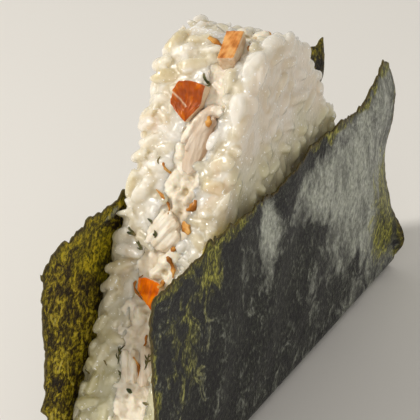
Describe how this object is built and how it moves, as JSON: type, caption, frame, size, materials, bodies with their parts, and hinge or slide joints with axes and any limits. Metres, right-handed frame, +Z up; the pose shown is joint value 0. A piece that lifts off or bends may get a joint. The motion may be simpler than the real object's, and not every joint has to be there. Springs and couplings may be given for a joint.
{
  "type": "onigiri rice ball",
  "caption": "Triangular pressed-rice sandwich with a creamy smoked-chicken filling, standing in a folded sheet of nori whose flaps reach past its slanted sides.",
  "frame": {"origin": "middle of the flat underside, on the surface that the onigiri stands on", "axes": "+X along the base, +Y from the front face to the back face, +Z up to the apex"},
  "size_m": [0.0936, 0.025, 0.0718],
  "materials": {
    "nori": "dry roasted seaweed sheet, satin, mottled dark green to black, olive where light comes through",
    "rice": "moist cooked short-grain rice, translucent warm white, wet gloss",
    "filling": "cream sauce with shredded chicken and dill, off-white, moist",
    "browned_chicken": "smoked browned surface, orange to red-brown, glossy, fibrous",
    "chicken_meat": "torn cooked breast meat, pale pinkish white, fibrous, moist"
  },
  "bodies": {
    "root": {"nori": "nori", "rice_front": "rice", "rice_back": "rice", "filling": "filling", "chicken_cube_apex": "browned_chicken", "chicken_wedge_upper": "browned_chicken", "chicken_strip_upper": "chicken_meat", "chicken_strip_middle": "chicken_meat", "chicken_wedge_lower": "browned_chicken", "chicken_strip_lower": "chicken_meat", "chicken_wedge_far": "browned_chicken", "chicken_strip_far": "chicken_meat", "chicken_cube_far": "browned_chicken", "chicken_strip_far_low": "chicken_meat"}
  },
  "joints": []
}
